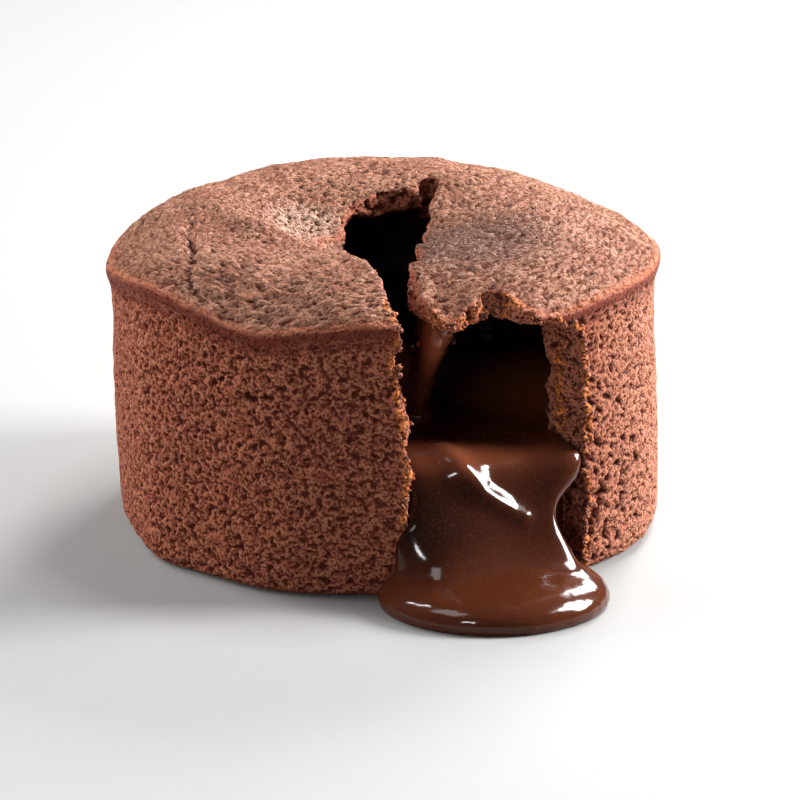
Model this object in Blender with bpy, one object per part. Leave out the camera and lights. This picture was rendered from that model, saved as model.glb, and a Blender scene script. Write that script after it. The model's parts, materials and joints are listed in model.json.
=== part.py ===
"""A small round chocolate cake with a molten centre, torn open at the front so that the filling runs out.

Metres, +Z up. The origin is on the cake's own axis, on the surface that it stands on, and the front is -Y.
Azimuths are degrees round the axis, from the front towards +X, the right. Two directions are used for the
opening: "out" runs from the axis through the middle of the opening, and "across" runs to its right.
"""

import math

import bmesh
import bpy
from mathutils import Vector, noise

MM = 0.001

# Baked outside of the cake. Each swell is (azimuth, size, spread in degrees).
RIM_RADIUS = 39.0 * MM
RIM_HEIGHT = 38.6 * MM
BASE_RADIUS = 37.0 * MM
BASE_ROUNDING = 2.2 * MM
LIP = 1.2 * MM
LIP_DEPTH = 3.0 * MM
BELLY = 0.6 * MM
DOME_RISE = 6.2 * MM
DOME_SHOULDER = 6.0 * MM
RIM_WAVES = (
    (-54, 1.6 * MM, 14),
    (-93, -1.9 * MM, 15),
    (-28, -1.1 * MM, 9),
    (1, 1.5 * MM, 12),
    (56, 0.9 * MM, 14),
    (92, 0.5 * MM, 18),
    (-126, -0.9 * MM, 22),
    (123, -2.3 * MM, 23),
)
BASE_SWELLS = (
    (66, 2.4 * MM, 28),
    (96, 0.8 * MM, 22),
    (-56, 1.5 * MM, 10),
    (-25, 1.0 * MM, 18),
    (-2, -0.8 * MM, 12),
    (150, 0.6 * MM, 30),
)
BELLY_SWELLS = ((92, -0.3 * MM, 28),)
RIM_WAVE_REACH = 9.6 * MM
CRATER_CENTRE = (-4.6 * MM, 1.5 * MM)
CRATER_DEPTH = 8.2 * MM
CRATER_SPREAD = 13.0 * MM
RIDGE_CENTRE = (-4.6 * MM, 4.5 * MM)
RIDGE_RADIUS = 15.5 * MM
RIDGE_RISE = 2.8 * MM
RIDGE_WIDTH = 3.8 * MM
RIDGE_AZIMUTH = -55.0
RIDGE_STRETCH = 38.0
FLAP_TIP = (8.0 * MM, -34.0 * MM)
FLAP_DROOP = 2.4 * MM
FLAP_SPREAD = 6.5 * MM
UNEVENNESS = 0.45 * MM
UNEVEN_LENGTH = 9.0 * MM

# Hollow that the molten filling leaves inside.
CAVITY_CENTRE = (1.6 * MM, -1.6 * MM)
CAVITY_RADIUS = 28.0 * MM
CAVITY_FLOOR = 6.0 * MM
CAVITY_MIDDLE = 20.0 * MM
CAVITY_SQUARENESS = 4.5
ROOF_THICKNESS = 4.6 * MM
ROOF_THINNING = 2.0 * MM
THIN_ROOF_SPREAD = 19.5 * MM

# Stretch of wall that is torn away. Its sides spread outwards.
OPENING_AZIMUTH = 24.0
MOUTH_INNER = 22.0 * MM
MOUTH_OUTER = 48.0 * MM
MOUTH_LEFT = (-8.5 * MM, -14.6 * MM)
MOUTH_RIGHT = (9.0 * MM, 20.2 * MM)
MOUTH_FOOT = -4.0 * MM
MOUTH_TOP = 37.6 * MM
MOUTH_ARCH = (8.0 * MM, 4.0 * MM)

# Tear in the top crust, seen from above: the hole in the middle, the slit to the front and the broken rim.
TEAR_LOWEST = 29.0 * MM
TEAR_HIGHEST = 56.0 * MM
TEAR_OUTLINE = [
    (x * MM, y * MM)
    for x, y in (
        # right-hand edge, from the end of the crack at the back to the tip of the flap at the front
        (7.6, 21.5), (7.4, 17.0), (6.4, 8.0), (5.8, -4.0), (4.8, -16.0), (3.8, -26.0), (5.6, -31.2), (7.4, -36.4),
        # the bite out of the flap, and the rim beside it
        (9.4, -34.6), (11.6, -33.0), (13.4, -30.6), (14.6, -28.9), (16.2, -29.2), (17.6, -31.4), (20.5, -32.4),
        (23.5, -31.6), (26.5, -38.0), (24.0, -46.0),
        # left-hand edge, from the rim back to the hole
        (4.0, -46.0), (2.9, -39.0), (1.0, -34.4), (-0.5, -27.8), (-2.4, -22.4), (-5.0, -18.6), (-5.8, -8.0),
        (-5.8, 10.6), (-4.6, 13.6), (-1.4, 15.4), (3.0, 15.4), (5.6, 16.4), (6.2, 20.6),
    )
]

# The torn surfaces are rough.
TEAR_VOXEL = 1.1 * MM
TEAR_SMOOTHING = 3
CRAG_HEIGHT = 1.15 * MM
CRAG_LENGTH = 3.2 * MM
TEAR_DETAIL = 0.18

# Molten filling: a pool in the hollow, a tongue over the torn wall, a puddle on the surface, and a curtain
# that still hangs from the flap.
FIT_GAP = 0.3 * MM
POOL_RADIUS = 33.0 * MM
POOL_LEVEL = 19.5 * MM
POOL_FLOOR = 3.0 * MM
POOL_SQUARENESS = 6.0
# Each tongue section is (out, middle across, half width, top, rise to the right), and how far it draws in below.
TONGUE_SECTIONS = [
    ([value * MM for value in section], neck)
    for section, neck in (
        ((14, 1.0, 16.0, 19.5, 0.0), 0.0),
        ((22, 1.8, 15.8, 19.3, 0.5), 0.0),
        ((27, 1.8, 16.0, 19.0, 3.5), 0.15),
        ((31, 1.8, 16.0, 18.2, 7.0), 0.4),
        ((34, 1.8, 15.6, 15.8, 9.8), 0.6),
        ((37, 1.2, 15.0, 12.0, 11.0), 0.65),
        ((40, 1.0, 12.2, 8.4, 7.0), 0.5),
        ((44, -0.4, 11.4, 5.0, 1.6), 0.0),
    )
]
TONGUE_SQUARENESS = 3.0
NECK_HEIGHT = 0.6
PUDDLE_CENTRE = (15.1 * MM, -37.4 * MM)
PUDDLE_SEMI_AXES = (16.2 * MM, 14.2 * MM, 3.9 * MM)
PUDDLE_MIDDLE = 0.9 * MM
PUDDLE_SQUARENESS = 2.3
# Each curtain section is (height, x, y, half thickness, half length).
CURTAIN_SECTIONS = [
    tuple(value * MM for value in section)
    for section in (
        (38.0, 8.2, -22.5, 3.0, 10.5), (34.0, 7.2, -21.0, 2.2, 9.8), (28.0, 5.6, -17.5, 1.9, 8.8),
        (22.0, 4.2, -14.0, 2.2, 8.6), (14.0, 3.0, -12.0, 4.0, 9.0),
    )
]
LAVA_VOXEL = 1.1 * MM
LAVA_SMOOTHING = 10
LAVA_DETAIL = 0.22

# How finely the round forms are drawn, and the levels of the cake's profile as shares of its height and radius.
SEGMENTS = 72
BALL_SEGMENTS = 48
BALL_RINGS = 24
TONGUE_POINTS = 32
CURTAIN_POINTS = 20
SIDE_LEVELS = (0.18, 0.34, 0.5, 0.66, 0.8, 0.9, 0.96, 1.0)
TOP_LEVELS = (0.985, 0.95, 0.9, 0.83, 0.75, 0.66, 0.6, 0.54, 0.48, 0.42, 0.36, 0.3, 0.24, 0.16, 0.07)
CAKE_COLOUR = (0.20, 0.085, 0.05)
LAVA_COLOUR = (0.055, 0.017, 0.009)


def swell(azimuth, swells):
    """Sum of smooth bumps round the cake at this azimuth."""
    total = 0.0
    for centre, size, spread in swells:
        away = (azimuth - centre + 180) % 360 - 180
        total += size * math.exp(-((away / spread) ** 2))
    return total


def uneven(x, y, z):
    return UNEVENNESS * noise.noise(Vector((x, y, z)) / UNEVEN_LENGTH)


def round_bump(x, y, centre, spread):
    """1 at the centre, falling smoothly to 0 around it."""
    away = math.hypot(x - centre[0], y - centre[1])
    return math.exp(-((away / spread) ** 2))


def ridge_height(x, y):
    """Height that the crust's crest adds along the front left of the crater."""
    right = x - RIDGE_CENTRE[0]
    back = y - RIDGE_CENTRE[1]
    along = (math.degrees(math.atan2(right, -back)) - RIDGE_AZIMUTH + 180) % 360 - 180
    away = (math.hypot(right, back) - RIDGE_RADIUS) / RIDGE_WIDTH
    return RIDGE_RISE * math.exp(-(away**2) - (along / RIDGE_STRETCH) ** 2)


def top_height(x, y):
    """Height of the top crust: a dome that sinks in the middle and droops at the torn flap."""
    azimuth = math.degrees(math.atan2(x, -y))
    inward = max(0.0, RIM_RADIUS - math.hypot(x, y))
    wave = swell(azimuth, RIM_WAVES) * math.exp(-inward / RIM_WAVE_REACH)
    dome = RIM_HEIGHT + wave + DOME_RISE * (1 - math.exp(-inward / DOME_SHOULDER))
    crater = CRATER_DEPTH * round_bump(x, y, CRATER_CENTRE, CRATER_SPREAD)
    droop = FLAP_DROOP * round_bump(x, y, FLAP_TIP, FLAP_SPREAD)
    return dome + ridge_height(x, y) - crater - droop + uneven(x, y, 0.0)


def roof_height(x, y):
    """Height of the hollow's ceiling, under a crust that is thinner in the middle."""
    thinning = ROOF_THINNING * round_bump(x, y, CRATER_CENTRE, THIN_ROOF_SPREAD)
    return top_height(x, y) - ROOF_THICKNESS + thinning


def wall_radius(azimuth, height):
    """Radius of the side at a height: widest at the lip, slightly full at mid-height."""
    rim = RIM_HEIGHT + swell(azimuth, RIM_WAVES)
    share = height / rim
    base = BASE_RADIUS + swell(azimuth, BASE_SWELLS)
    straight = base + (RIM_RADIUS - LIP - base) * share
    lip = LIP * math.exp(-(((rim - height) / LIP_DEPTH) ** 2))
    turn = math.radians(azimuth)
    rough = uneven(RIM_RADIUS * math.sin(turn), -RIM_RADIUS * math.cos(turn), height)
    belly = BELLY + swell(azimuth, BELLY_SWELLS)
    return straight + lip + belly * math.sin(math.pi * share) + rough * (1 - share)


def side_and_top_profile(azimuth):
    """(radius, height) pairs from the foot of the side, over the rim, to just short of the axis."""
    rim = RIM_HEIGHT + swell(azimuth, RIM_WAVES)
    foot = wall_radius(azimuth, BASE_ROUNDING)
    points = [(foot - BASE_ROUNDING, 0.0)]
    for turn in (30, 60, 90):
        angle = math.radians(turn)
        points.append(
            (
                foot - BASE_ROUNDING + BASE_ROUNDING * math.sin(angle),
                BASE_ROUNDING - BASE_ROUNDING * math.cos(angle),
            )
        )
    for share in SIDE_LEVELS:
        points.append((wall_radius(azimuth, rim * share), rim * share))
    for share in TOP_LEVELS:
        radius = RIM_RADIUS * share
        turn = math.radians(azimuth)
        points.append((radius, top_height(radius * math.sin(turn), -radius * math.cos(turn))))
    return points


def object_from(bm, name):
    """Makes an object of the mesh, with its faces pointing outwards."""
    bmesh.ops.recalc_face_normals(bm, faces=bm.faces)
    mesh = bpy.data.meshes.new(name)
    bm.to_mesh(mesh)
    bm.free()
    obj = bpy.data.objects.new(name, mesh)
    bpy.context.scene.collection.objects.link(obj)
    return obj


def skin_rings(bm, rings):
    """Joins rings of equally many points, one after another, and caps both ends."""
    loops = [[bm.verts.new(point) for point in ring] for ring in rings]
    count = len(loops[0])
    for lower, upper in zip(loops, loops[1:]):
        for i in range(count):
            j = (i + 1) % count
            bm.faces.new((lower[i], lower[j], upper[j], upper[i]))
    bm.faces.new(loops[0])
    bm.faces.new(loops[-1])


def bake(obj):
    """Applies an object's modifiers."""
    graph = bpy.context.evaluated_depsgraph_get()
    mesh = bpy.data.meshes.new_from_object(obj.evaluated_get(graph))
    obj.modifiers.clear()
    obj.data = mesh


def add_modifier(obj, kind, **settings):
    modifier = obj.modifiers.new(kind.lower(), kind)
    for name, value in settings.items():
        setattr(modifier, name, value)


def cut(obj, cutter):
    """Takes the cutter out of the object, and removes the cutter."""
    add_modifier(obj, "BOOLEAN", operation="DIFFERENCE", solver="EXACT", object=cutter)
    bake(obj)
    bpy.data.objects.remove(cutter)


def merge_shapes(bm, name, voxel, smoothing):
    """One smooth closed skin round all the shapes in the mesh."""
    obj = object_from(bm, name)
    add_modifier(obj, "REMESH", mode="VOXEL", voxel_size=voxel)
    add_modifier(obj, "SMOOTH", factor=0.5, iterations=smoothing)
    bake(obj)
    return obj


def thin_out(obj, ratio):
    add_modifier(obj, "DECIMATE", ratio=ratio)
    bake(obj)


def move_along_normals(obj, distance):
    """Moves each vertex outwards by distance(position)."""
    bm = bmesh.new()
    bm.from_mesh(obj.data)
    bm.normal_update()
    moved = [(vert, vert.co + vert.normal * distance(vert.co)) for vert in bm.verts]
    for vert, place in moved:
        vert.co = place
    bm.to_mesh(obj.data)
    bm.free()


def drop_scraps(obj):
    """Keeps only the largest of the object's loose pieces."""
    bm = bmesh.new()
    bm.from_mesh(obj.data)
    unseen = set(bm.verts)
    pieces = []
    while unseen:
        piece = set()
        edge_of_piece = [unseen.pop()]
        while edge_of_piece:
            vert = edge_of_piece.pop()
            piece.add(vert)
            near = {edge.other_vert(vert) for edge in vert.link_edges} & unseen
            unseen -= near
            edge_of_piece.extend(near)
        pieces.append(piece)
    largest = max(pieces, key=len)
    bmesh.ops.delete(bm, geom=[v for v in bm.verts if v not in largest], context="VERTS")
    bm.to_mesh(obj.data)
    bm.free()


def point_at(out, across, height):
    """A point given along the opening's own directions."""
    turn = math.radians(OPENING_AZIMUTH)
    return Vector(
        (
            out * math.sin(turn) + across * math.cos(turn),
            -out * math.cos(turn) + across * math.sin(turn),
            height,
        )
    )


def squared_circle(turn, squareness):
    """A point of a superellipse of half width 1."""
    c, s = math.cos(turn), math.sin(turn)
    size = (abs(c) ** squareness + abs(s) ** squareness) ** (-1 / squareness)
    return c * size, s * size


def add_cavity(bm):
    """A low rounded hollow, whose roof follows the top crust."""
    made = bmesh.ops.create_uvsphere(bm, u_segments=BALL_SEGMENTS, v_segments=BALL_RINGS, radius=1.0)
    for vert in made["verts"]:
        level = math.hypot(vert.co.x, vert.co.y)
        size = (level**CAVITY_SQUARENESS + abs(vert.co.z) ** CAVITY_SQUARENESS) ** (
            -1 / CAVITY_SQUARENESS
        )
        x = CAVITY_CENTRE[0] + CAVITY_RADIUS * size * vert.co.x
        y = CAVITY_CENTRE[1] + CAVITY_RADIUS * size * vert.co.y
        roof = roof_height(x, y) - CAVITY_MIDDLE
        depth = CAVITY_MIDDLE - CAVITY_FLOOR
        lift = size * vert.co.z * (roof if vert.co.z > 0 else depth)
        vert.co = Vector((x, y, CAVITY_MIDDLE + lift))


def mouth_outline(left, right, arch):
    """(across, height) round the missing stretch of wall, arched at its top right."""
    points = [(left, MOUTH_FOOT), (left, MOUTH_TOP)]
    for turn in range(90, -1, -15):
        angle = math.radians(turn)
        across = right - arch + arch * math.cos(angle)
        points.append((across, MOUTH_TOP - arch + arch * math.sin(angle)))
    points.append((right, MOUTH_FOOT))
    return points


def add_mouth(bm):
    rings = []
    for out, left, right, arch in zip((MOUTH_INNER, MOUTH_OUTER), MOUTH_LEFT, MOUTH_RIGHT, MOUTH_ARCH):
        rings.append([point_at(out, across, z) for across, z in mouth_outline(left, right, arch)])
    skin_rings(bm, rings)


def add_tear(bm):
    rings = [[(x, y, z) for x, y in TEAR_OUTLINE] for z in (TEAR_LOWEST, TEAR_HIGHEST)]
    skin_rings(bm, rings)


def torn_space(clearance):
    """All that is missing from the cake, with rough sides. A clearance makes it smaller."""
    bm = bmesh.new()
    add_cavity(bm)
    add_mouth(bm)
    add_tear(bm)
    obj = merge_shapes(bm, "torn_space", TEAR_VOXEL, TEAR_SMOOTHING)
    move_along_normals(obj, lambda place: CRAG_HEIGHT * noise.noise(place / CRAG_LENGTH))
    thin_out(obj, TEAR_DETAIL)
    if clearance:
        move_along_normals(obj, lambda place: -clearance)
    return obj


def cake_form(name, clearance=0.0):
    """The baked cake with its torn space, grown all over by the clearance."""
    bm = bmesh.new()
    profiles = [side_and_top_profile(360 * i / SEGMENTS) for i in range(SEGMENTS)]
    rings = []
    for level in range(len(profiles[0])):
        ring = []
        for i, profile in enumerate(profiles):
            turn = math.radians(360 * i / SEGMENTS)
            radius = profile[level][0] + clearance
            height = profile[level][1] + math.copysign(clearance, profile[level][1] - RIM_HEIGHT / 2)
            ring.append((radius * math.sin(turn), -radius * math.cos(turn), height))
        rings.append(ring)
    skin_rings(bm, rings)
    obj = object_from(bm, name)
    cut(obj, torn_space(clearance))
    drop_scraps(obj)
    return obj


def add_squared_ellipsoid(bm, centre, semi_axes, squareness):
    """A rounded slab: superelliptic from the side, elliptic from above."""
    made = bmesh.ops.create_uvsphere(bm, u_segments=BALL_SEGMENTS, v_segments=BALL_RINGS, radius=1.0)
    for vert in made["verts"]:
        level = math.hypot(vert.co.x, vert.co.y)
        size = (level**squareness + abs(vert.co.z) ** squareness) ** (-1 / squareness)
        for axis in range(3):
            vert.co[axis] = centre[axis] + semi_axes[axis] * size * vert.co[axis]


def add_pool(bm):
    middle = (POOL_LEVEL + POOL_FLOOR) / 2
    half_depth = (POOL_LEVEL - POOL_FLOOR) / 2
    semi_axes = (POOL_RADIUS, POOL_RADIUS, half_depth)
    add_squared_ellipsoid(bm, (*CAVITY_CENTRE, middle), semi_axes, POOL_SQUARENESS)


def add_tongue(bm):
    """The filling as it runs over the torn wall: wide and full on top, drawn in as it falls."""
    rings = []
    for (out, middle, half_width, top, rise), neck in TONGUE_SECTIONS:
        ring = []
        for i in range(TONGUE_POINTS):
            across, up = squared_circle(math.tau * i / TONGUE_POINTS, TONGUE_SQUARENESS)
            height = (top + rise * max(0.0, across) ** 2) * (0.5 + 0.5 * up)
            drawn_in = 1.0
            if across > 0:
                drawn_in -= neck * min(1.0, max(0.0, NECK_HEIGHT - up))
            ring.append(point_at(out, middle + half_width * across * drawn_in, height))
        rings.append(ring)
    skin_rings(bm, rings)


def add_puddle(bm):
    centre = (*PUDDLE_CENTRE, PUDDLE_MIDDLE)
    add_squared_ellipsoid(bm, centre, PUDDLE_SEMI_AXES, PUDDLE_SQUARENESS)


def add_curtain(bm):
    rings = []
    for height, x, y, half_thickness, half_length in CURTAIN_SECTIONS:
        ring = []
        for i in range(CURTAIN_POINTS):
            turn = math.tau * i / CURTAIN_POINTS
            ring.append((x + half_thickness * math.cos(turn), y + half_length * math.sin(turn), height))
        rings.append(ring)
    skin_rings(bm, rings)


def cut_flat_underneath(obj):
    """Cuts off what is below the surface that the cake stands on."""
    bm = bmesh.new()
    bm.from_mesh(obj.data)
    bmesh.ops.bisect_plane(
        bm,
        geom=bm.verts[:] + bm.edges[:] + bm.faces[:],
        plane_co=(0, 0, 0),
        plane_no=(0, 0, -1),
        clear_outer=True,
    )
    open_edges = [edge for edge in bm.edges if edge.is_boundary]
    bmesh.ops.contextual_create(bm, geom=open_edges)
    bm.to_mesh(obj.data)
    bm.free()


def lava_form(name):
    bm = bmesh.new()
    add_pool(bm)
    add_tongue(bm)
    add_puddle(bm)
    add_curtain(bm)
    obj = merge_shapes(bm, name, LAVA_VOXEL, LAVA_SMOOTHING)
    thin_out(obj, LAVA_DETAIL)
    cut_flat_underneath(obj)
    cut(obj, cake_form("grown_cake", FIT_GAP))
    drop_scraps(obj)
    return obj


def finish(obj, colour, roughness):
    material = bpy.data.materials.new(obj.name)
    material.use_nodes = True
    shader = material.node_tree.nodes["Principled BSDF"]
    shader.inputs["Base Color"].default_value = (*colour, 1.0)
    shader.inputs["Roughness"].default_value = roughness
    shader.inputs["Metallic"].default_value = 0.0
    obj.data.materials.clear()
    obj.data.materials.append(material)
    obj.data.shade_smooth()
    obj.data.set_sharp_from_angle(angle=math.radians(40))


def build():
    for obj in list(bpy.data.objects):
        bpy.data.objects.remove(obj)
    finish(cake_form("cake"), CAKE_COLOUR, 0.85)
    finish(lava_form("lava"), LAVA_COLOUR, 0.12)


build()
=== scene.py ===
import json
import math
import random

import bmesh
import bpy
import numpy
from mathutils import Matrix, Vector, noise

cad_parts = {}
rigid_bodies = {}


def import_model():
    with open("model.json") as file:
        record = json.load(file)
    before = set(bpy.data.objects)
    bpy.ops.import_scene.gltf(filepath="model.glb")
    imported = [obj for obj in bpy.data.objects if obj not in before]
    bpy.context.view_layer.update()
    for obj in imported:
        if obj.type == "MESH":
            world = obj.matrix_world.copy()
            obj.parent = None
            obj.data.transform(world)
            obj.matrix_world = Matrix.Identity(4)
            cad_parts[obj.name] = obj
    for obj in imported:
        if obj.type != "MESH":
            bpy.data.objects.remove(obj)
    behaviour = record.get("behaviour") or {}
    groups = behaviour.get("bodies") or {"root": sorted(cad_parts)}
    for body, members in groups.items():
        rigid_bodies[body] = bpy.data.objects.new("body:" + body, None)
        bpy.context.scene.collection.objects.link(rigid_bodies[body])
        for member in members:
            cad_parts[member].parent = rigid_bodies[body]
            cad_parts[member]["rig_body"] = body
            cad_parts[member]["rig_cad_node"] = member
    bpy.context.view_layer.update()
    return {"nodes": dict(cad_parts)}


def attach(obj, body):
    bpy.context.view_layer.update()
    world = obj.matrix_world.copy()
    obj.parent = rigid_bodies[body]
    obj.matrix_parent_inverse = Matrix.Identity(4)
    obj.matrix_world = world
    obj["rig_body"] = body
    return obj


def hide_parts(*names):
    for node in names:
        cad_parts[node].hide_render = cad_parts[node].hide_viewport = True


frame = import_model()

MM = 0.001


# Camera.
# It looks at the front from a little above, from far enough away that the round rim is hardly
# foreshortened, as in the photograph.
CAMERA_DISTANCE = 0.9
CAMERA_ELEVATION = math.radians(18.8)
AIM = Vector((2.4 * MM, 0.0, 16.4 * MM))
VIEW_WIDTH = 113.3 * MM
SENSOR = 36.0

bpy.ops.object.select_all(action="DESELECT")
bpy.ops.object.camera_add(
    location=AIM
    + CAMERA_DISTANCE * Vector((0, -math.cos(CAMERA_ELEVATION), math.sin(CAMERA_ELEVATION))),
    rotation=(math.radians(90) - CAMERA_ELEVATION, 0, 0),
)
camera = bpy.context.object
camera.data.sensor_width = SENSOR
camera.data.lens = SENSOR * CAMERA_DISTANCE / VIEW_WIDTH
camera.data.clip_start = 0.01
bpy.context.scene.camera = camera


# Sponge.
# The baked cake: a dry, porous crumb under a thin crust that has sunk and split, with a wall torn open at the
# front. It is skinned from the cake's own solid, finely enough to carry pores, wrinkles and cracks, in two
# halves that meet along the split, so that each can be as fine.
SKIN = 0.32 * MM
SKIN_SMOOTHING = 8
HALF_TRIANGLES = 197000
SPLIT_BACK = Vector((2.0, 20.0, 0.0)) * MM
SPLIT_FRONT = Vector((4.2, -38.0, 0.0)) * MM
CUT_FACING = -0.999
CRATER = Vector((-4.6, 1.5, 0.0)) * MM
RIM_STEP = 3
NO_RIM = 38.0 * MM
PORE_SEED = 5
# The sizes of the crumb's lumps and holes.
SWELL_SIZE = 5.5 * MM
LUMP_SIZE = 2.2 * MM
WARP_SIZE = 1.2 * MM
NET_SIZE = 0.5 * MM
LARGE_PORE_SIZE = 1.0 * MM
TORN_PIT_SIZE = 1.3 * MM
CRUST_FOLD = 0.55 * MM
# How far colour and depth are spread along the skin, in rounds from vertex to vertex.
TEAR_ROUNDS = 26
SUNK_ROUNDS = 20
SUNK_FULL = 0.3


def smooth_step(value, low, high):
    share = min(1.0, max(0.0, (value - low) / (high - low)))
    return share * share * (3 - 2 * share)


def piece_from_solid(node, name):
    """A piece of its own in the shape of a solid, with the solid's loose triangles joined up."""
    bpy.ops.object.select_all(action="DESELECT")
    piece = frame["nodes"][node].copy()
    piece.data = piece.data.copy()
    piece.name = piece.data.name = name
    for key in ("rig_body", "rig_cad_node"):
        del piece[key]
    piece.parent = None
    bpy.context.scene.collection.objects.link(piece)
    piece.select_set(True)
    bpy.context.view_layer.objects.active = piece
    bpy.ops.object.mode_set(mode="EDIT")
    bpy.ops.mesh.select_all(action="SELECT")
    bpy.ops.mesh.remove_doubles(threshold=1e-6)
    bpy.ops.object.mode_set(mode="OBJECT")
    piece.data.materials.clear()
    return piece


def apply_modifier(piece, kind, **settings):
    bpy.ops.object.select_all(action="DESELECT")
    piece.select_set(True)
    bpy.context.view_layer.objects.active = piece
    modifier = piece.modifiers.new(kind.lower(), kind)
    for name, value in settings.items():
        setattr(modifier, name, value)
    bpy.ops.object.modifier_apply(modifier=modifier.name)


def zones(place, normal):
    """Shares of top crust, outer wall, torn crumb and hollow at a point of the skin."""
    radius = math.hypot(place.x, place.y)
    outward = (normal.x * place.x + normal.y * place.y) / max(radius, 1e-6)
    top = smooth_step(normal.z, 0.3, 0.65) * smooth_step(place.z, 32 * MM, 35 * MM)
    wall = smooth_step(outward, 0.45, 0.8) * smooth_step(radius, 34.5 * MM, 36 * MM) * (1 - top)
    under = smooth_step(-normal.z, 0.6, 0.9) * smooth_step(-place.z, -0.8 * MM, -0.3 * MM)
    rest = max(0.0, 1 - top - wall - under)
    cut_wall = smooth_step(radius, 28 * MM, 30.5 * MM)
    cut_crust = smooth_step(place.z, 35.5 * MM, 38 * MM) * smooth_step(normal.z, -0.75, -0.35)
    torn = rest * max(cut_wall, cut_crust)
    return top, wall, torn, rest - torn


def rim_position(place):
    """How far round the rim a point lies, in steps."""
    return (math.degrees(math.atan2(place.x, -place.y)) % 360) / RIM_STEP


def rim_heights(points):
    """The height of the rim at each step round the cake: the top of its outer wall."""
    heights = [0.0] * (360 // RIM_STEP)
    for place, normal in points:
        if zones(place, normal)[1] > 0.6:
            step = int(rim_position(place))
            heights[step] = max(heights[step], place.z)
    return [height if height > 0.9 * NO_RIM else NO_RIM for height in heights]


def rim_above(place, heights):
    """How far a point lies below the rim, in mm."""
    position = rim_position(place) - 0.5
    step = math.floor(position)
    share = position - step
    first, second = heights[step % len(heights)], heights[(step + 1) % len(heights)]
    return (first + (second - first) * share - place.z) / MM


# Each mark is (ends, width, depth) in mm: creases, cracks and larger pits that the photograph shows.
MARKS = [
    (((-27.3, 4.2, 42.8), (-26.8, -8.2, 43.4)), 0.4, 0.4),
    (((-26.8, -8.2, 43.4), (-26.3, -20.0, 43.3)), 0.45, 1.0),
    (((-26.3, -20.0, 43.3), (-26.6, -24.2, 42.0)), 0.4, 0.6),
    (((-26.6, -24.2, 42.0), (-24.8, -28.5, 40.1)), 0.4, 0.35),
    (((-18.4, -33.5, 28.3), (-16.0, -34.7, 28.3)), 0.45, 1.1),
    (((-3.6, -37.8, 29.6), (-1.4, -37.9, 29.6)), 0.3, 0.6),
    (((-19.6, -32.1, 7.8), (-19.6, -31.9, 5.2)), 0.6, 0.8),
    (((35.2, -17.9, 18.9), (35.5, -17.7, 13.4)), 0.5, 0.7),
    (((33.6, -20.7, 13.2), (33.5, -20.6, 8.0)), 0.6, 0.8),
    (((28.7, -26.1, 6.3), (30.8, -24.0, 11.4)), 0.4, 0.8),
]


def mark_depth(place):
    """Depth, in mm, of the creases and cracks at a point."""
    total = 0.0
    for (start, end), width, depth in MARKS:
        start, end = Vector(start) * MM, Vector(end) * MM
        along = end - start
        share = min(1.0, max(0.0, (place - start).dot(along) / along.length_squared))
        away = (place - start - along * share).length / MM
        if away < 4 * width:
            away += 1.2 * noise.noise(place / (0.9 * MM))
            total = max(total, depth * math.exp(-((max(0.0, away) / width) ** 2)))
    return total


def around_crater(place, turns, step):
    """Where a point lies in a pattern that runs in rings round the crater, one ring each step outwards."""
    out = place - CRATER
    out.z = 0.0
    around = out.normalized() * turns
    return Vector((around.x, around.y, out.length / step))


def crumb_relief(place, shares, below_rim):
    """Movement of the skin along its normal, in mm, and the shares of the rim's lip and of its edge."""
    top, wall, torn, hollow = shares
    coarse = noise.noise(place / SWELL_SIZE)
    if hollow > 0.99 or top + wall + torn + hollow < 0.01:
        return 0.35 * hollow * coarse, 0.0, 0.0
    warped = place + 0.3 * MM * noise.noise_vector(place / WARP_SIZE)
    lip = wall * math.exp(-((max(0.0, below_rim - 0.4) / 1.3) ** 4))
    under_lip = wall * math.exp(-(((below_rim - 2.7) / 0.9) ** 2))
    bare = 1 - 0.95 * lip - 0.4 * under_lip
    lumps = noise.noise(place / LUMP_SIZE)
    flat = Vector((warped.x, warped.y, 1.35 * warped.z))
    # The wall's right side is more open: its large pores start sooner and go deeper.
    open_side = smooth_step(place.x, 18 * MM, 30 * MM)
    sooner = 0.08 * open_side
    net = smooth_step(noise.noise(flat / NET_SIZE), 0.06, 0.38)
    large = smooth_step(noise.noise(flat / LARGE_PORE_SIZE), 0.2 - sooner, 0.5 - sooner)
    move = wall * (0.1 * lip - 0.12 * under_lip + 0.12 * coarse - 0.09 * lip * net)
    move += wall * bare * (0.14 * lumps - 0.32 * net - (0.35 + 0.25 * open_side) * large)
    if top > 0:
        fold = noise.noise(around_crater(warped, 18, CRUST_FOLD))
        pricked = smooth_step(noise.noise(warped / NET_SIZE), 0.1, 0.4)
        valley = smooth_step(fold, -0.05, 0.35)
        move += top * (0.25 * coarse + 0.2 * lumps - 0.26 * valley - 0.2 * pricked)
    if torn > 0:
        deep = smooth_step(noise.noise(warped / TORN_PIT_SIZE), 0.1, 0.4)
        move += torn * (0.5 * lumps - 0.5 * net - 0.6 * deep)
    move += hollow * 0.35 * coarse
    rim_edge = (top + wall) * math.exp(-(((below_rim + 0.25) / 0.4) ** 2))
    return move - mark_depth(place), lip + 0.45 * under_lip, rim_edge


def diffuse(values, ends, rounds):
    """Values spread out over the mesh's vertices, along its edges."""
    count = len(values)
    degree = numpy.bincount(ends.ravel(), minlength=count)
    for _ in range(rounds):
        total = numpy.bincount(ends[:, 0], weights=values[ends[:, 1]], minlength=count)
        total += numpy.bincount(ends[:, 1], weights=values[ends[:, 0]], minlength=count)
        values = 0.4 * values + 0.6 * total / degree
    return values


ATTRIBUTE_KINDS = {1: ("FLOAT", "value"), 3: ("FLOAT_VECTOR", "vector"), 4: ("FLOAT_COLOR", "color")}


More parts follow.
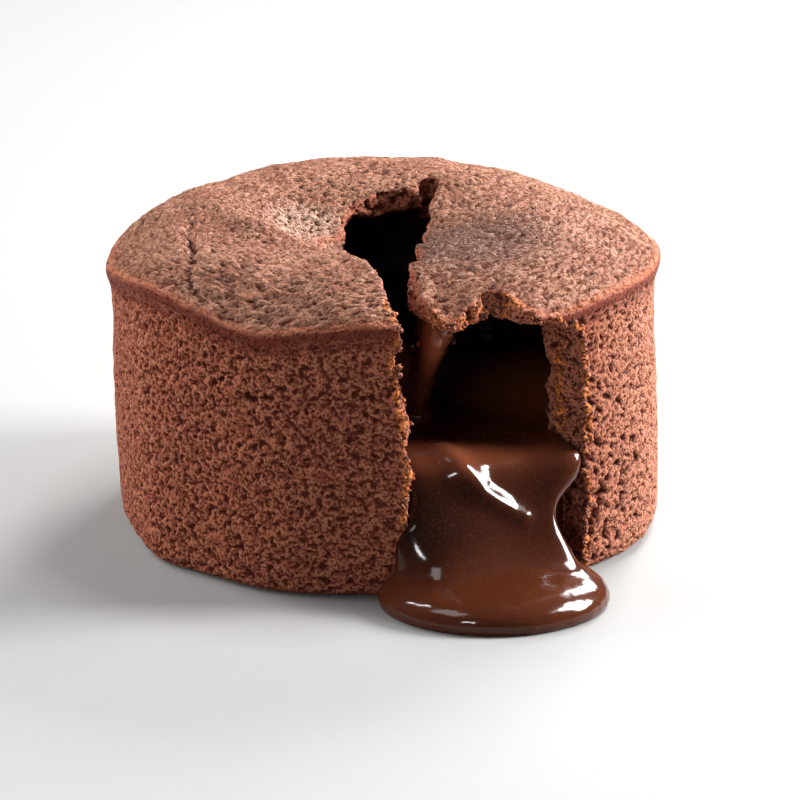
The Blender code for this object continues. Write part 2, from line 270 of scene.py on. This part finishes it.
def add_attribute(mesh, name, values):
    kind, key = ATTRIBUTE_KINDS[1 if values.ndim == 1 else values.shape[1]]
    attribute = mesh.attributes.new(name, kind, "POINT")
    attribute.data.foreach_set(key, values.ravel())


# The warp of the pores is read from places that this number sets, so each run gives the same crumb.
noise.seed_set(PORE_SEED)

sponge = piece_from_solid("cake", "sponge")
apply_modifier(sponge, "REMESH", mode="VOXEL", voxel_size=SKIN)
apply_modifier(sponge, "SMOOTH", factor=0.5, iterations=SKIN_SMOOTHING)

skin = [(vert.co.copy(), vert.normal.copy()) for vert in sponge.data.vertices]
skin_edges = numpy.empty(2 * len(sponge.data.edges), dtype=int)
sponge.data.edges.foreach_get("vertices", skin_edges)
skin_edges = skin_edges.reshape(-1, 2)
rims = rim_heights(skin)
skin_zones = [zones(place, normal) for place, normal in skin]
relief = numpy.array(
    [
        crumb_relief(place, shares, rim_above(place, rims))
        for (place, normal), shares in zip(skin, skin_zones)
    ]
)
moves = relief[:, 0]
places = numpy.array([place for place, normal in skin])
normals = numpy.array([normal for place, normal in skin])
places += normals * moves[:, None] * MM
places[:, 2] = numpy.maximum(places[:, 2], 0.0)
sponge.data.vertices.foreach_set("co", places.ravel())

zone_shares = numpy.array(skin_zones)
outer_share = numpy.clip((numpy.hypot(places[:, 0], places[:, 1]) / MM - 32.5) / 3.0, 0.0, 1.0)
near_tear = diffuse(zone_shares[:, 2], skin_edges, TEAR_ROUNDS) * outer_share
sunk = numpy.clip((diffuse(moves, skin_edges, SUNK_ROUNDS) - moves) / SUNK_FULL, -1.0, 1.0)
rings = numpy.array([around_crater(place, 32, 0.46 * MM) for place, normal in skin])
add_attribute(sponge.data, "zone", numpy.column_stack((zone_shares[:, [0, 2, 3]], 0.5 + 0.5 * sunk)))
add_attribute(sponge.data, "lip", relief[:, 1])
add_attribute(sponge.data, "rim_edge", relief[:, 2])
add_attribute(sponge.data, "near_tear", near_tear)
add_attribute(sponge.data, "rings", rings)


def half_of(piece, name, side):
    """The closed part of a piece that lies on one side (1 or -1) of the upright plane through the split."""
    half = bpy.data.objects.new(name, piece.data.copy())
    half.data.name = name
    bpy.context.scene.collection.objects.link(half)
    across = side * (SPLIT_BACK - SPLIT_FRONT).cross(Vector((0, 0, 1))).normalized()
    shell = bmesh.new()
    shell.from_mesh(half.data)
    bmesh.ops.bisect_plane(
        shell,
        geom=shell.verts[:] + shell.edges[:] + shell.faces[:],
        dist=1e-8,
        plane_co=SPLIT_BACK,
        plane_no=across,
        clear_inner=True,
    )
    seam = [edge for edge in shell.edges if edge.is_boundary]
    bmesh.ops.triangle_fill(shell, edges=seam, use_beauty=True)
    bmesh.ops.recalc_face_normals(shell, faces=shell.faces)
    shell.to_mesh(half.data)
    shell.free()
    faces = sum(len(polygon.vertices) - 2 for polygon in half.data.polygons)
    half.data.transform(Matrix.Scale(1 / MM, 4))
    apply_modifier(half, "DECIMATE", ratio=min(1.0, HALF_TRIANGLES / faces))
    half.data.transform(Matrix.Scale(MM, 4))
    half.data.shade_smooth()
    # The cut faces meet the skin in a sharp edge, so that the seam doesn't show in the skin's shading.
    cut_edges = set()
    for polygon in half.data.polygons:
        if polygon.normal.dot(across) < CUT_FACING:
            cut_edges.symmetric_difference_update(polygon.edge_keys)
    for edge in half.data.edges:
        edge.use_edge_sharp = edge.key in cut_edges
    return half


sponge_halves = [half_of(sponge, "sponge_left", -1), half_of(sponge, "sponge_right", 1)]
bpy.data.objects.remove(sponge)


class Paint:
    """A node material built up step by step: each step returns the output that it adds."""

    def __init__(self, name):
        self.material = bpy.data.materials.new(name)
        self.material.use_nodes = True
        self.tree = self.material.node_tree
        self.shader = self.tree.nodes["Principled BSDF"]
        self.place = self.tree.nodes.new("ShaderNodeTexCoord").outputs["Object"]

    def put(self, target, value):
        if isinstance(value, bpy.types.NodeSocket):
            self.tree.links.new(value, target)
        else:
            target.default_value = value

    def noise(self, size, detail=4.0, roughness=0.6, place=None):
        node = self.tree.nodes.new("ShaderNodeTexNoise")
        self.put(node.inputs["Vector"], place or self.place)
        node.inputs["Scale"].default_value = 1 / size
        node.inputs["Detail"].default_value = detail
        node.inputs["Roughness"].default_value = roughness
        return node.outputs["Fac"]

    def number(self, name):
        node = self.tree.nodes.new("ShaderNodeAttribute")
        node.attribute_name = name
        return node.outputs["Fac"]

    def distance(self, point):
        node = self.tree.nodes.new("ShaderNodeVectorMath")
        node.operation = "DISTANCE"
        self.tree.links.new(self.place, node.inputs[0])
        node.inputs[1].default_value = point
        return node.outputs["Value"]

    def part_of_place(self, axis):
        node = self.tree.nodes.new("ShaderNodeSeparateXYZ")
        self.tree.links.new(self.place, node.inputs[0])
        return node.outputs[axis]

    def vector(self, name):
        node = self.tree.nodes.new("ShaderNodeAttribute")
        node.attribute_name = name
        return node.outputs["Vector"]

    def shares(self, name):
        node = self.tree.nodes.new("ShaderNodeAttribute")
        node.attribute_name = name
        parts = self.tree.nodes.new("ShaderNodeSeparateColor")
        self.tree.links.new(node.outputs["Color"], parts.inputs[0])
        return parts.outputs[0], parts.outputs[1], parts.outputs[2], node.outputs["Alpha"]

    def spread(self, value, low, high, to_low=0.0, to_high=1.0):
        node = self.tree.nodes.new("ShaderNodeMapRange")
        node.interpolation_type = "SMOOTHSTEP"
        self.put(node.inputs["Value"], value)
        for key, number in (("From Min", low), ("From Max", high), ("To Min", to_low), ("To Max", to_high)):
            node.inputs[key].default_value = number
        return node.outputs["Result"]

    def mix(self, share, first, second):
        node = self.tree.nodes.new("ShaderNodeMix")
        node.data_type = "RGBA"
        self.put(node.inputs["Factor"], share)
        for key, value in (("A", first), ("B", second)):
            socket = next(s for s in node.inputs if s.name == key and s.type == "RGBA")
            self.put(socket, (value, value, value, 1) if isinstance(value, float) else value)
        return next(s for s in node.outputs if s.type == "RGBA")

    def maths(self, operation, first, second):
        node = self.tree.nodes.new("ShaderNodeMath")
        node.operation = operation
        self.put(node.inputs[0], first)
        self.put(node.inputs[1], second)
        return node.outputs[0]

    def bump(self, height, distance, strength=1.0):
        node = self.tree.nodes.new("ShaderNodeBump")
        self.put(node.inputs["Height"], height)
        node.inputs["Distance"].default_value = distance
        node.inputs["Strength"].default_value = strength
        return node.outputs["Normal"]

    def finish(self, colour, roughness, normal):
        self.put(self.shader.inputs["Base Color"], colour)
        self.put(self.shader.inputs["Roughness"], roughness)
        self.put(self.shader.inputs["Normal"], normal)
        return self.material


WALL_CRUMB = (0.26, 0.072, 0.041, 1)
WALL_CRUMB_RED = (0.2, 0.048, 0.03, 1)
# Painted highlight: ridges of the crumb that stand above their surroundings are painted lighter and more
# orange.
WALL_RIDGE_HIGHLIGHT = (0.4, 0.145, 0.08, 1)
# Painted sheen: the wall is painted paler towards its right side, where the light from the right grazes it.
WALL_PAINTED_SHEEN = (0.46, 0.225, 0.15, 1)
PAINTED_SHEEN_SIDE = (26 * MM, 36 * MM)
CRUST = (0.31, 0.135, 0.08, 1)
CRUST_DARK = (0.23, 0.085, 0.047, 1)
# Painted glints: pale specks put on the crust, and the crater's painted sheen.
CRUST_PAINTED_GLINT = (0.58, 0.42, 0.33, 1)
LIP_RED = (0.12, 0.024, 0.014, 1)
# LIP_SHADE is painted shade for the pits of the lip.
LIP_SHADE = (0.065, 0.012, 0.008, 1)
TORN_CRUMB = (0.36, 0.125, 0.075, 1)
RAW_EDGE = (0.62, 0.19, 0.05, 1)
# Painted shade: the colour put into pores, pits and grooves, where shade falls inside them.
PIT_SHADE = (0.06, 0.011, 0.005, 1)
FILLING_FILM = (0.012, 0.004, 0.0025, 1)
# Painted sheen: the crater's far left slope is painted paler round this place, where it catches the light.
CRATER_SHEEN_CENTRE = Vector((-11.0, 7.7, 39.5)) * MM
CRATER_SHEEN_REACH = (3 * MM, 7.5 * MM)
# Painted shade: the crust's slope right of the crater faces away from the light and is painted darker round
# this place.
FLAP_SHADE_CENTRE = Vector((10.0, -12.0, 42.0)) * MM
FLAP_SHADE_REACH = (7 * MM, 20 * MM)
CRUST_PAINTED_SHADE = (0.08, 0.03, 0.018, 1)
# Painted highlight: the rounded top edge of the rim is painted lighter.
RIM_EDGE_HIGHLIGHT = (0.42, 0.13, 0.065, 1)
PATCH_SIZE = 5 * MM
GRAIN_SIZE = 0.22 * MM
HOLE_SIZE = 0.34 * MM
GROOVE_BREAKS = 0.4 * MM
PALE_SPOT_SIZE = 0.5 * MM
GLOW_SIZE = 1.1 * MM
SPONGE_ROUGHNESS = 0.52
HOLE_ROUGHNESS = 0.9
FILM_ROUGHNESS = 0.3
SPONGE_BUMP = 0.2 * MM


def sponge_material():
    paint = Paint("baked_crumb")
    top, torn, hollow, sunken = paint.shares("zone")
    lip = paint.spread(paint.number("lip"), 0.2, 0.8)
    patches = paint.spread(paint.noise(PATCH_SIZE, 3), 0.38, 0.62)
    grain = paint.noise(GRAIN_SIZE, 2)
    holes = paint.spread(paint.noise(HOLE_SIZE, 2, 0.45), 0.38, 0.48)
    grooves = paint.spread(paint.noise(1.0, 2, 0.5, paint.vector("rings")), 0.38, 0.5)
    breaks = paint.spread(paint.noise(GROOVE_BREAKS, 2), 0.34, 0.46)
    grooves = paint.maths("MULTIPLY", grooves, breaks)
    solid = paint.mix(top, holes, grooves)
    wall = paint.mix(patches, WALL_CRUMB_RED, WALL_CRUMB)
    # Painted highlight on the ridges, read from how far the skin is sunken.
    wall = paint.mix(paint.spread(sunken, 0.3, 0.5, 0.7, 0.0), wall, WALL_RIDGE_HIGHLIGHT)
    # Painted sheen on the wall's right side, stronger where the grain is high.
    painted_sheen_share = paint.spread(paint.part_of_place("X"), *PAINTED_SHEEN_SIDE, 0.0, 0.6)
    wall = paint.mix(paint.maths("MULTIPLY", painted_sheen_share, paint.spread(grain, 0.35, 0.6)), wall, WALL_PAINTED_SHEEN)
    crust = paint.mix(patches, CRUST_DARK, CRUST)
    # Painted shade on the slope right of the crater.
    flap_shade_share = paint.spread(paint.distance(FLAP_SHADE_CENTRE), *FLAP_SHADE_REACH, 0.9, 0.0)
    crust = paint.mix(flap_shade_share, crust, CRUST_PAINTED_SHADE)
    # Painted sheen on the crater's far left slope.
    crater_sheen = paint.spread(paint.distance(CRATER_SHEEN_CENTRE), *CRATER_SHEEN_REACH, 0.5, 0.0)
    # Painted glints: pale specks on the crust where the noise peaks and the grain is high, plus the crater's
    # painted sheen.
    pale = paint.spread(paint.noise(PALE_SPOT_SIZE, 3), 0.52, 0.68, 0.0, 0.35)
    pale = paint.maths("ADD", pale, crater_sheen)
    crust = paint.mix(paint.maths("MULTIPLY", pale, paint.spread(grain, 0.3, 0.6)), crust, CRUST_PAINTED_GLINT)
    colour = paint.mix(top, wall, crust)
    colour = paint.mix(torn, colour, TORN_CRUMB)
    raw = paint.spread(paint.number("near_tear"), 0.04, 0.2)
    raw = paint.maths("MULTIPLY", raw, paint.spread(paint.number("near_tear"), 0.55, 0.8, 1.0, 0.0))
    glow = paint.spread(paint.noise(GLOW_SIZE, 3), 0.36, 0.52)
    colour = paint.mix(paint.maths("MULTIPLY", raw, glow), colour, RAW_EDGE)
    # Painted shade: pores, the crust's grooves and the skin's sunken pits are painted dark, a little less on
    # the top.
    pit_shade_strength = paint.spread(top, 0.0, 1.0, 0.75, 0.55)
    depth = paint.maths("MULTIPLY", paint.maths("SUBTRACT", 1.0, solid), pit_shade_strength)
    colour = paint.mix(depth, colour, PIT_SHADE)
    colour = paint.mix(paint.spread(sunken, 0.52, 0.85, 0.0, 0.9), colour, PIT_SHADE)
    # The lip is painted darker in its pits, as painted shade.
    colour = paint.mix(paint.maths("MULTIPLY", lip, 0.92), colour, paint.mix(holes, LIP_SHADE, LIP_RED))
    # Painted highlight along the rim's top edge.
    edge = paint.maths("MULTIPLY", paint.number("rim_edge"), paint.spread(holes, 0.0, 1.0, 0.3, 0.75))
    colour = paint.mix(edge, colour, RIM_EDGE_HIGHLIGHT)
    colour = paint.mix(hollow, colour, FILLING_FILM)
    rough = paint.mix(solid, HOLE_ROUGHNESS, SPONGE_ROUGHNESS)
    rough = paint.mix(hollow, rough, FILM_ROUGHNESS)
    height = paint.maths("ADD", paint.maths("MULTIPLY", grain, 0.5), solid)
    height = paint.maths("MULTIPLY", height, paint.spread(lip, 0.1, 0.9, 1.0, 0.4))
    height = paint.maths("MULTIPLY", height, paint.spread(hollow, 0.1, 0.9, 1.0, 0.1))
    paint.shader.inputs["Specular IOR Level"].default_value = 0.08
    return paint.finish(colour, rough, paint.bump(height, SPONGE_BUMP))


crumb_finish = sponge_material()
for half in sponge_halves:
    half.data.materials.append(crumb_finish)
    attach(half, "root")
    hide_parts("cake")


# Crumbs.
# Small torn-off bits of the same sponge, which stick along the torn edges of the wall and the crust.
CRUMB_COUNT = 800
CRUMB_SIZES = (0.12 * MM, 0.42 * MM)
CRUMB_SHAPES = 6
CRUMB_SINK = 0.4
CRUMB_SEED = 7
CRUMB_LOWEST = 2 * MM


def crumb_shape(seed):
    """A rough lump about 1 across each way."""
    bpy.ops.object.select_all(action="DESELECT")
    bpy.ops.mesh.primitive_ico_sphere_add(subdivisions=2, radius=1.0)
    lump = bpy.context.object
    for vert in lump.data.vertices:
        vert.co *= 1 + 1.1 * noise.noise(vert.co * 1.5 + Vector((seed * 9.1, 0, 0)))
    apply_modifier(lump, "DECIMATE", ratio=0.5)
    mesh = lump.data
    bpy.data.objects.remove(lump)
    return mesh


def add_crumbs():
    draw = random.Random(CRUMB_SEED)
    on_edge = (near_tear > 0.12) & (near_tear < 0.75) & (places[:, 2] > CRUMB_LOWEST)
    edge = numpy.nonzero(on_edge)[0]
    shapes = [crumb_shape(seed) for seed in range(CRUMB_SHAPES)]
    crumbs = bmesh.new()
    for spot in draw.sample(edge.tolist(), CRUMB_COUNT):
        size = CRUMB_SIZES[0] + (CRUMB_SIZES[1] - CRUMB_SIZES[0]) * draw.random() ** 2.2
        before = len(crumbs.verts)
        crumbs.from_mesh(draw.choice(shapes))
        stretch = Matrix.Diagonal((size * draw.uniform(0.6, 1.5), size * draw.uniform(0.6, 1.5), size, 1))
        turn = Matrix.Rotation(draw.uniform(0, math.tau), 4, Vector((draw.random(), draw.random(), 1)))
        place = Vector(places[spot]) + Vector(normals[spot]) * size * (1 - CRUMB_SINK)
        crumbs.verts.ensure_lookup_table()
        bmesh.ops.transform(
            crumbs, matrix=Matrix.Translation(place) @ turn @ stretch, verts=crumbs.verts[before:]
        )
    mesh = bpy.data.meshes.new("crumbs")
    crumbs.to_mesh(mesh)
    crumbs.free()
    piece = bpy.data.objects.new("crumbs", mesh)
    bpy.context.scene.collection.objects.link(piece)
    return piece


def crumbs_material():
    paint = Paint("torn_crumb")
    colour = paint.mix(paint.spread(paint.noise(1.6 * MM, 2), 0.5, 0.68), TORN_CRUMB, RAW_EDGE)
    # Painted shade in the crumb's pits.
    pits = paint.spread(paint.noise(0.3 * MM, 2), 0.35, 0.55)
    colour = paint.mix(pits, PIT_SHADE, colour)
    paint.shader.inputs["Specular IOR Level"].default_value = 0.2
    return paint.finish(colour, 0.8, paint.bump(pits, 0.12 * MM))


crumbs_piece = add_crumbs()
crumbs_piece.data.shade_smooth()
crumbs_piece.data.materials.append(crumbs_material())
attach(crumbs_piece, "root")


# Molten filling.
# Warm, thick chocolate batter that never set: a pool in the hollow that spills over the torn wall in one
# smooth tongue and settles in a puddle. It wets the crumb, so it is grown a little to meet it.
FILLING_SKIN = 0.4 * MM
WETTING = 0.42 * MM
FILLING_SMOOTHING = 30
MOLTEN = (0.034, 0.0085, 0.004, 1)
# Painted shade: the filling's left side, shadowed by the left of the cake, is painted darker.
MOLTEN_PAINTED_SHADE = (0.012, 0.0035, 0.002, 1)
# Lighter where the filling lies thin near the table, and painted light on the top of the pool and the tongue.
MOLTEN_THIN_AND_LIT = (0.06, 0.0145, 0.006, 1)
# Painted light: the front of the pool's top, in the flap's shadow, is painted lighter.
MOLTEN_CREST_PAINTED_LIGHT = (0.17, 0.048, 0.022, 1)

filling = piece_from_solid("lava", "molten_filling")
apply_modifier(filling, "REMESH", mode="VOXEL", voxel_size=FILLING_SKIN)
apply_modifier(filling, "DISPLACE", strength=WETTING, mid_level=0.0)
apply_modifier(filling, "SMOOTH", factor=0.5, iterations=FILLING_SMOOTHING)


# The fold where the flow has piled up on its way down: (place, width, height) in mm along its crest.
FOLD_CREST = [
    ((8.4, -29.7, 19.3), 2.3, 0.9),
    ((10.8, -31.9, 16.7), 2.1, 1.3),
    ((13.6, -33.3, 14.0), 1.7, 1.2),
    ((19.4, -34.2, 11.2), 1.4, 0.6),
]
# Where the tongue's right side is drawn in, how far round that place, and by how much.
WAIST = Vector((27.8, -31.5, 10.5)) * MM
WAIST_REACH = 4.6 * MM
WAIST_PULL = 2.8 * MM


def fold_height(place):
    """Height, in mm, that the fold adds at a point."""
    nearest, height = math.inf, 0.0
    for (start, width, crest), (end, end_width, end_crest) in zip(FOLD_CREST, FOLD_CREST[1:]):
        start, end = Vector(start) * MM, Vector(end) * MM
        along = end - start
        share = min(1.0, max(0.0, (place - start).dot(along) / along.length_squared))
        away = (place - start - along * share).length / MM
        if away < nearest:
            nearest = away
            spread = width + (end_width - width) * share
            height = (crest + (end_crest - crest) * share) * math.exp(-((away / spread) ** 2))
    return height


folds = [fold_height(vert.co) * MM * vert.normal for vert in filling.data.vertices]
for vert, fold in zip(filling.data.vertices, folds):
    near = math.exp(-(((vert.co - WAIST).length / WAIST_REACH) ** 2))
    vert.co += fold - Vector((WAIST_PULL * near, 0, 0))
    vert.co.z = max(0.0, vert.co.z)
filling.data.shade_smooth()


def filling_material():
    paint = Paint("molten_chocolate")
    swirls = paint.noise(7 * MM, 2)
    # Lighter near the table where the filling is thin; above 14 mm the filling's top is painted lighter, as
    # painted light.
    low = paint.spread(paint.part_of_place("Z"), 3 * MM, 10 * MM, 1.0, 0.0)
    high = paint.spread(paint.part_of_place("Z"), 14 * MM, 18 * MM)
    thin_and_lit = paint.maths("ADD", low, paint.maths("MULTIPLY", high, 0.8))
    thin_and_lit = paint.maths("MULTIPLY", thin_and_lit, paint.spread(swirls, 0.3, 0.7, 0.8, 1.0))
    # Painted shade: darker towards the left, where the left of the cake shadows the filling.
    deep = paint.spread(paint.part_of_place("X"), 5 * MM, 17 * MM, 0.9, 0.0)
    specks = paint.spread(paint.noise(0.28 * MM, 2), 0.56, 0.72)
    # Painted light on the pool's top at the front, under the flap's shadow.
    crest = paint.spread(paint.part_of_place("Z"), 16 * MM, 20 * MM)
    front = paint.spread(paint.part_of_place("Y"), -30 * MM, -25 * MM, 1.0, 0.0)
    colour = paint.mix(deep, MOLTEN, MOLTEN_PAINTED_SHADE)
    colour = paint.mix(thin_and_lit, colour, MOLTEN_THIN_AND_LIT)
    colour = paint.mix(paint.maths("MULTIPLY", crest, front), colour, MOLTEN_CREST_PAINTED_LIGHT)
    colour = paint.mix(paint.maths("MULTIPLY", specks, 0.06), colour, RAW_EDGE)
    paint.shader.inputs["IOR"].default_value = 1.45
    paint.shader.inputs["Specular IOR Level"].default_value = 0.35
    waves = paint.bump(paint.noise(4 * MM, 2), 0.12 * MM)
    return paint.finish(colour, 0.13, waves)


molten = filling_material()
filling.data.materials.append(molten)
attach(filling, "root")
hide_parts("lava")


# Drops of filling.
# Beads of the same molten batter that cling to the torn crumb, under the flap and along the edges of the
# slit. Each is (place, half width, half height) in mm, and sits on the nearest surface.
DROPS = [
    ((7.4, -31.8, 36.2), 0.95, 1.6),
    ((4.0, -26.7, 41.0), 0.4, 0.45),
    ((5.4, -24.0, 39.0), 0.5, 0.55),
    ((4.9, -24.1, 32.0), 0.4, 0.5),
    ((9.5, -24.0, 33.2), 0.4, 0.6),
    ((4.6, -27.5, 33.8), 0.35, 0.4),
    ((16.6, -26.0, 36.5), 0.8, 0.8),
    ((13.2, -25.0, 36.5), 0.6, 0.7),
    ((22.8, -22.0, 22.4), 0.4, 0.45),
]
DROP_SINK = 0.25


def nearest_skin(point):
    """The nearest place on the sponge or the filling, with the way that its surface faces."""
    found = []
    for piece in (*sponge_halves, filling):
        hit, place, normal, face = piece.closest_point_on_mesh(point)
        found.append(((place - point).length, place.copy(), normal.copy()))
    return min(found, key=lambda spot: spot[0])[1:]


def add_drops():
    bpy.ops.object.select_all(action="DESELECT")
    beads = []
    for place, half_width, half_height in DROPS:
        spot, facing = nearest_skin(Vector(place) * MM)
        centre = spot + facing * half_width * MM * (1 - DROP_SINK)
        bpy.ops.mesh.primitive_uv_sphere_add(segments=24, ring_count=16, radius=1.0, location=centre)
        bead = bpy.context.object
        bead.scale = (half_width * MM, half_width * MM, half_height * MM)
        for vert in bead.data.vertices:
            taper = 1 - 0.35 * max(0.0, vert.co.z)
            vert.co.x *= taper
            vert.co.y *= taper
        beads.append(bead)
    for bead in beads:
        bead.select_set(True)
    bpy.context.view_layer.objects.active = beads[0]
    bpy.ops.object.join()
    bpy.ops.object.transform_apply(location=True, rotation=True, scale=True)
    drops = bpy.context.object
    drops.name = drops.data.name = "drops_of_filling"
    return drops


drops = add_drops()
drops.data.shade_smooth()
drops.data.materials.append(molten)
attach(drops, "root")


# Table and light.
# A plain pale surface under the cake. Soft boxes at its left, right and back light the sponge from the
# sides, a weak one fills the front, and the ones that only gloss mirrors give the filling its bright glints.
TABLE_SIZE = 4.0
TABLE_COLOUR = (0.3, 0.296, 0.29, 1)
TABLE_COLOUR_SHADE = (0.28, 0.276, 0.27, 1)
# Each is (name, place, size, power, whether it lights matt surfaces, whether gloss mirrors it).
SOFT_BOXES = [
    ("left_back", (-0.5, 0.16, 0.26), 0.45, 5.5, True, False),
    ("right", (0.46, 0.04, 0.24), 0.16, 7.5, True, False),
    ("back", (0.2, 0.42, 0.32), 0.2, 3.9, True, True),
    ("overhead", (0.11, 0.1, 0.48), 0.11, 1.3, True, False),
    ("front", (-0.28, -0.56, 0.2), 0.34, 1.1, True, False),
    ("glint_on_fold", (0.385, 0.08, 0.33), 0.24, 10.5, False, True),
    ("glint_left", (-0.24, 0.14, 0.38), 0.13, 3.0, False, True),
    ("veil_left", (-0.2, -0.1, 0.46), 0.16, 0.4, False, True),
    ("glint_front", (-0.16, -0.5, 0.32), 0.06, 0.5, False, True),
]
WORLD_LIGHT = 0.075

bpy.ops.object.select_all(action="DESELECT")
bpy.ops.mesh.primitive_plane_add(size=TABLE_SIZE)
table = bpy.context.object
table.name = "table"
cloth = Paint("pale_table")
table.data.materials.append(
    cloth.finish(
        cloth.mix(cloth.noise(0.3, 2), TABLE_COLOUR, TABLE_COLOUR_SHADE),
        0.7,
        cloth.bump(cloth.noise(2 * MM, 2), 0.02 * MM),
    )
)

for name, place, size, power, lights_matt, is_mirrored in SOFT_BOXES:
    bpy.ops.object.light_add(type="AREA", location=place)
    lamp = bpy.context.object
    lamp.name = name
    lamp.data.size = size
    lamp.data.energy = power
    lamp.visible_diffuse = lights_matt
    lamp.visible_glossy = is_mirrored
    lamp.rotation_euler = (Vector(place) - Vector((0, 0, 0.02))).to_track_quat("Z", "Y").to_euler()

world = bpy.data.worlds.new("studio")
world.use_nodes = True
world.node_tree.nodes["Background"].inputs["Color"].default_value = (0.9, 0.93, 1, 1)
world.node_tree.nodes["Background"].inputs["Strength"].default_value = WORLD_LIGHT
bpy.context.scene.world = world
bpy.context.scene.view_settings.view_transform = "Standard"
